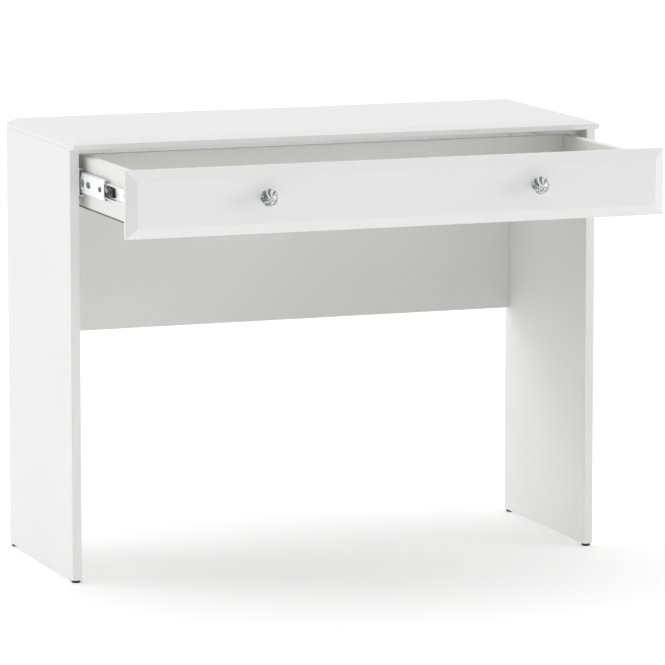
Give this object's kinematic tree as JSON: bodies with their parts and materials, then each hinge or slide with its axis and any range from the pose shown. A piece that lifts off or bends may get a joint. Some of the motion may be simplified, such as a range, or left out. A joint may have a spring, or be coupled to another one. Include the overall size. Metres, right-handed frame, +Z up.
{
  "type": "writing desk with drawer",
  "caption": "Panel-sided writing desk with a bevelled top, one wide drawer on full-extension ball slides, crystal ball knobs and a half-height back panel.",
  "frame": {"origin": "on the floor, under the middle of the whole desk's outline with the drawer standing open as drawn", "axes": "+X to the right as seen by the person at the desk, +Y to the back, away from that person, +Z up from the floor"},
  "size_m": [0.95, 0.6977, 0.75],
  "materials": {
    "white_laminate": "white satin laminate on fibreboard",
    "white_hardboard": "white-faced hardboard with raw brown edges",
    "white_plastic": "matt white",
    "beech": "raw fluted beech",
    "black_plastic": "matt black",
    "bright_zinc": "bright zinc plated steel sheet",
    "cage_steel": "zinc plated strip",
    "ball_steel": "polished ball steel",
    "zinc_fastener": "zinc plated",
    "die_cast_zinc": "raw die-cast zinc",
    "chrome": "polished chrome plate",
    "crystal": "cut clear crystal"
  },
  "bodies": {
    "carcass": {"top_panel": "white_laminate", "left_side_panel": "white_laminate", "right_side_panel": "white_laminate", "modesty_panel": "white_laminate", "cam_bolts": "zinc_fastener", "cam_locks": "die_cast_zinc", "cam_covers": "white_plastic", "wooden_dowels": "beech", "front_left_glide": "black_plastic", "front_right_glide": "black_plastic", "back_left_glide": "black_plastic", "back_right_glide": "black_plastic", "glide_nails": "zinc_fastener", "left_cabinet_rail": "bright_zinc", "right_cabinet_rail": "bright_zinc", "cabinet_rail_screws": "zinc_fastener"},
    "drawer": {"left_drawer_rail": "bright_zinc", "right_drawer_rail": "bright_zinc", "drawer_rail_screws": "zinc_fastener", "lever_rivets": "zinc_fastener", "drawer_front": "white_laminate", "drawer_left_side": "white_laminate", "drawer_right_side": "white_laminate", "drawer_back": "white_laminate", "drawer_bottom": "white_hardboard", "drawer_cam_bolts": "zinc_fastener", "drawer_cam_locks": "die_cast_zinc", "drawer_dowels": "beech", "drawer_back_screws": "zinc_fastener", "drawer_bottom_nails": "zinc_fastener", "bumper_pads": "white_plastic", "left_knob_base": "chrome", "right_knob_base": "chrome", "left_knob_crystal": "crystal", "right_knob_crystal": "crystal", "knob_screws": "zinc_fastener"},
    "left_middle": {"left_middle_rail": "bright_zinc"},
    "left_outer_balls_and_cage": {"left_outer_cage": "cage_steel", "left_outer_balls": "ball_steel"},
    "left_inner_balls_and_cage": {"left_inner_cage": "cage_steel", "left_inner_balls": "ball_steel"},
    "left_lever": {"left_release_lever": "black_plastic"},
    "right_middle": {"right_middle_rail": "bright_zinc"},
    "right_outer_balls_and_cage": {"right_outer_cage": "cage_steel", "right_outer_balls": "ball_steel"},
    "right_inner_balls_and_cage": {"right_inner_cage": "cage_steel", "right_inner_balls": "ball_steel"},
    "right_lever": {"right_release_lever": "black_plastic"}
  },
  "joints": [
    {"name": "drawer_slide", "type": "slide", "parent": "carcass", "child": "drawer", "axis": [0, -1, 0], "range_m": [-0.28, 0.02]},
    {"name": "left_middle_rail_slide", "type": "slide", "parent": "carcass", "child": "left_middle", "axis": [0, -1, 0], "range_m": [-0.1275, 0.0092]},
    {"name": "left_outer_cage_slide", "type": "slide", "parent": "carcass", "child": "left_outer_balls_and_cage", "axis": [0, -1, 0], "range_m": [-0.0638, 0.00465]},
    {"name": "left_inner_cage_slide", "type": "slide", "parent": "carcass", "child": "left_inner_balls_and_cage", "axis": [0, -1, 0], "range_m": [-0.2038, 0.01465]},
    {"name": "right_middle_rail_slide", "type": "slide", "parent": "carcass", "child": "right_middle", "axis": [0, -1, 0], "range_m": [-0.1275, 0.0092]},
    {"name": "right_outer_cage_slide", "type": "slide", "parent": "carcass", "child": "right_outer_balls_and_cage", "axis": [0, -1, 0], "range_m": [-0.0638, 0.00465]},
    {"name": "right_inner_cage_slide", "type": "slide", "parent": "carcass", "child": "right_inner_balls_and_cage", "axis": [0, -1, 0], "range_m": [-0.2038, 0.01465]},
    {"name": "left_lever_hinge", "type": "hinge", "parent": "drawer", "child": "left_lever", "pos_m": [-0.4508, -0.1605, 0.6785], "axis": [1, 0, 0], "range_deg": [0, 9]},
    {"name": "right_lever_hinge", "type": "hinge", "parent": "drawer", "child": "right_lever", "pos_m": [0.4508, -0.1605, 0.6785], "axis": [1, 0, 0], "range_deg": [0, 9]}
  ],
  "couplings": [
    {"joint": "left_middle_rail_slide", "follows": "drawer_slide", "ratio": 0.455},
    {"joint": "left_outer_cage_slide", "follows": "drawer_slide", "ratio": 0.2275},
    {"joint": "left_inner_cage_slide", "follows": "drawer_slide", "ratio": 0.7275},
    {"joint": "right_middle_rail_slide", "follows": "drawer_slide", "ratio": 0.455},
    {"joint": "right_outer_cage_slide", "follows": "drawer_slide", "ratio": 0.2275},
    {"joint": "right_inner_cage_slide", "follows": "drawer_slide", "ratio": 0.7275}
  ]
}
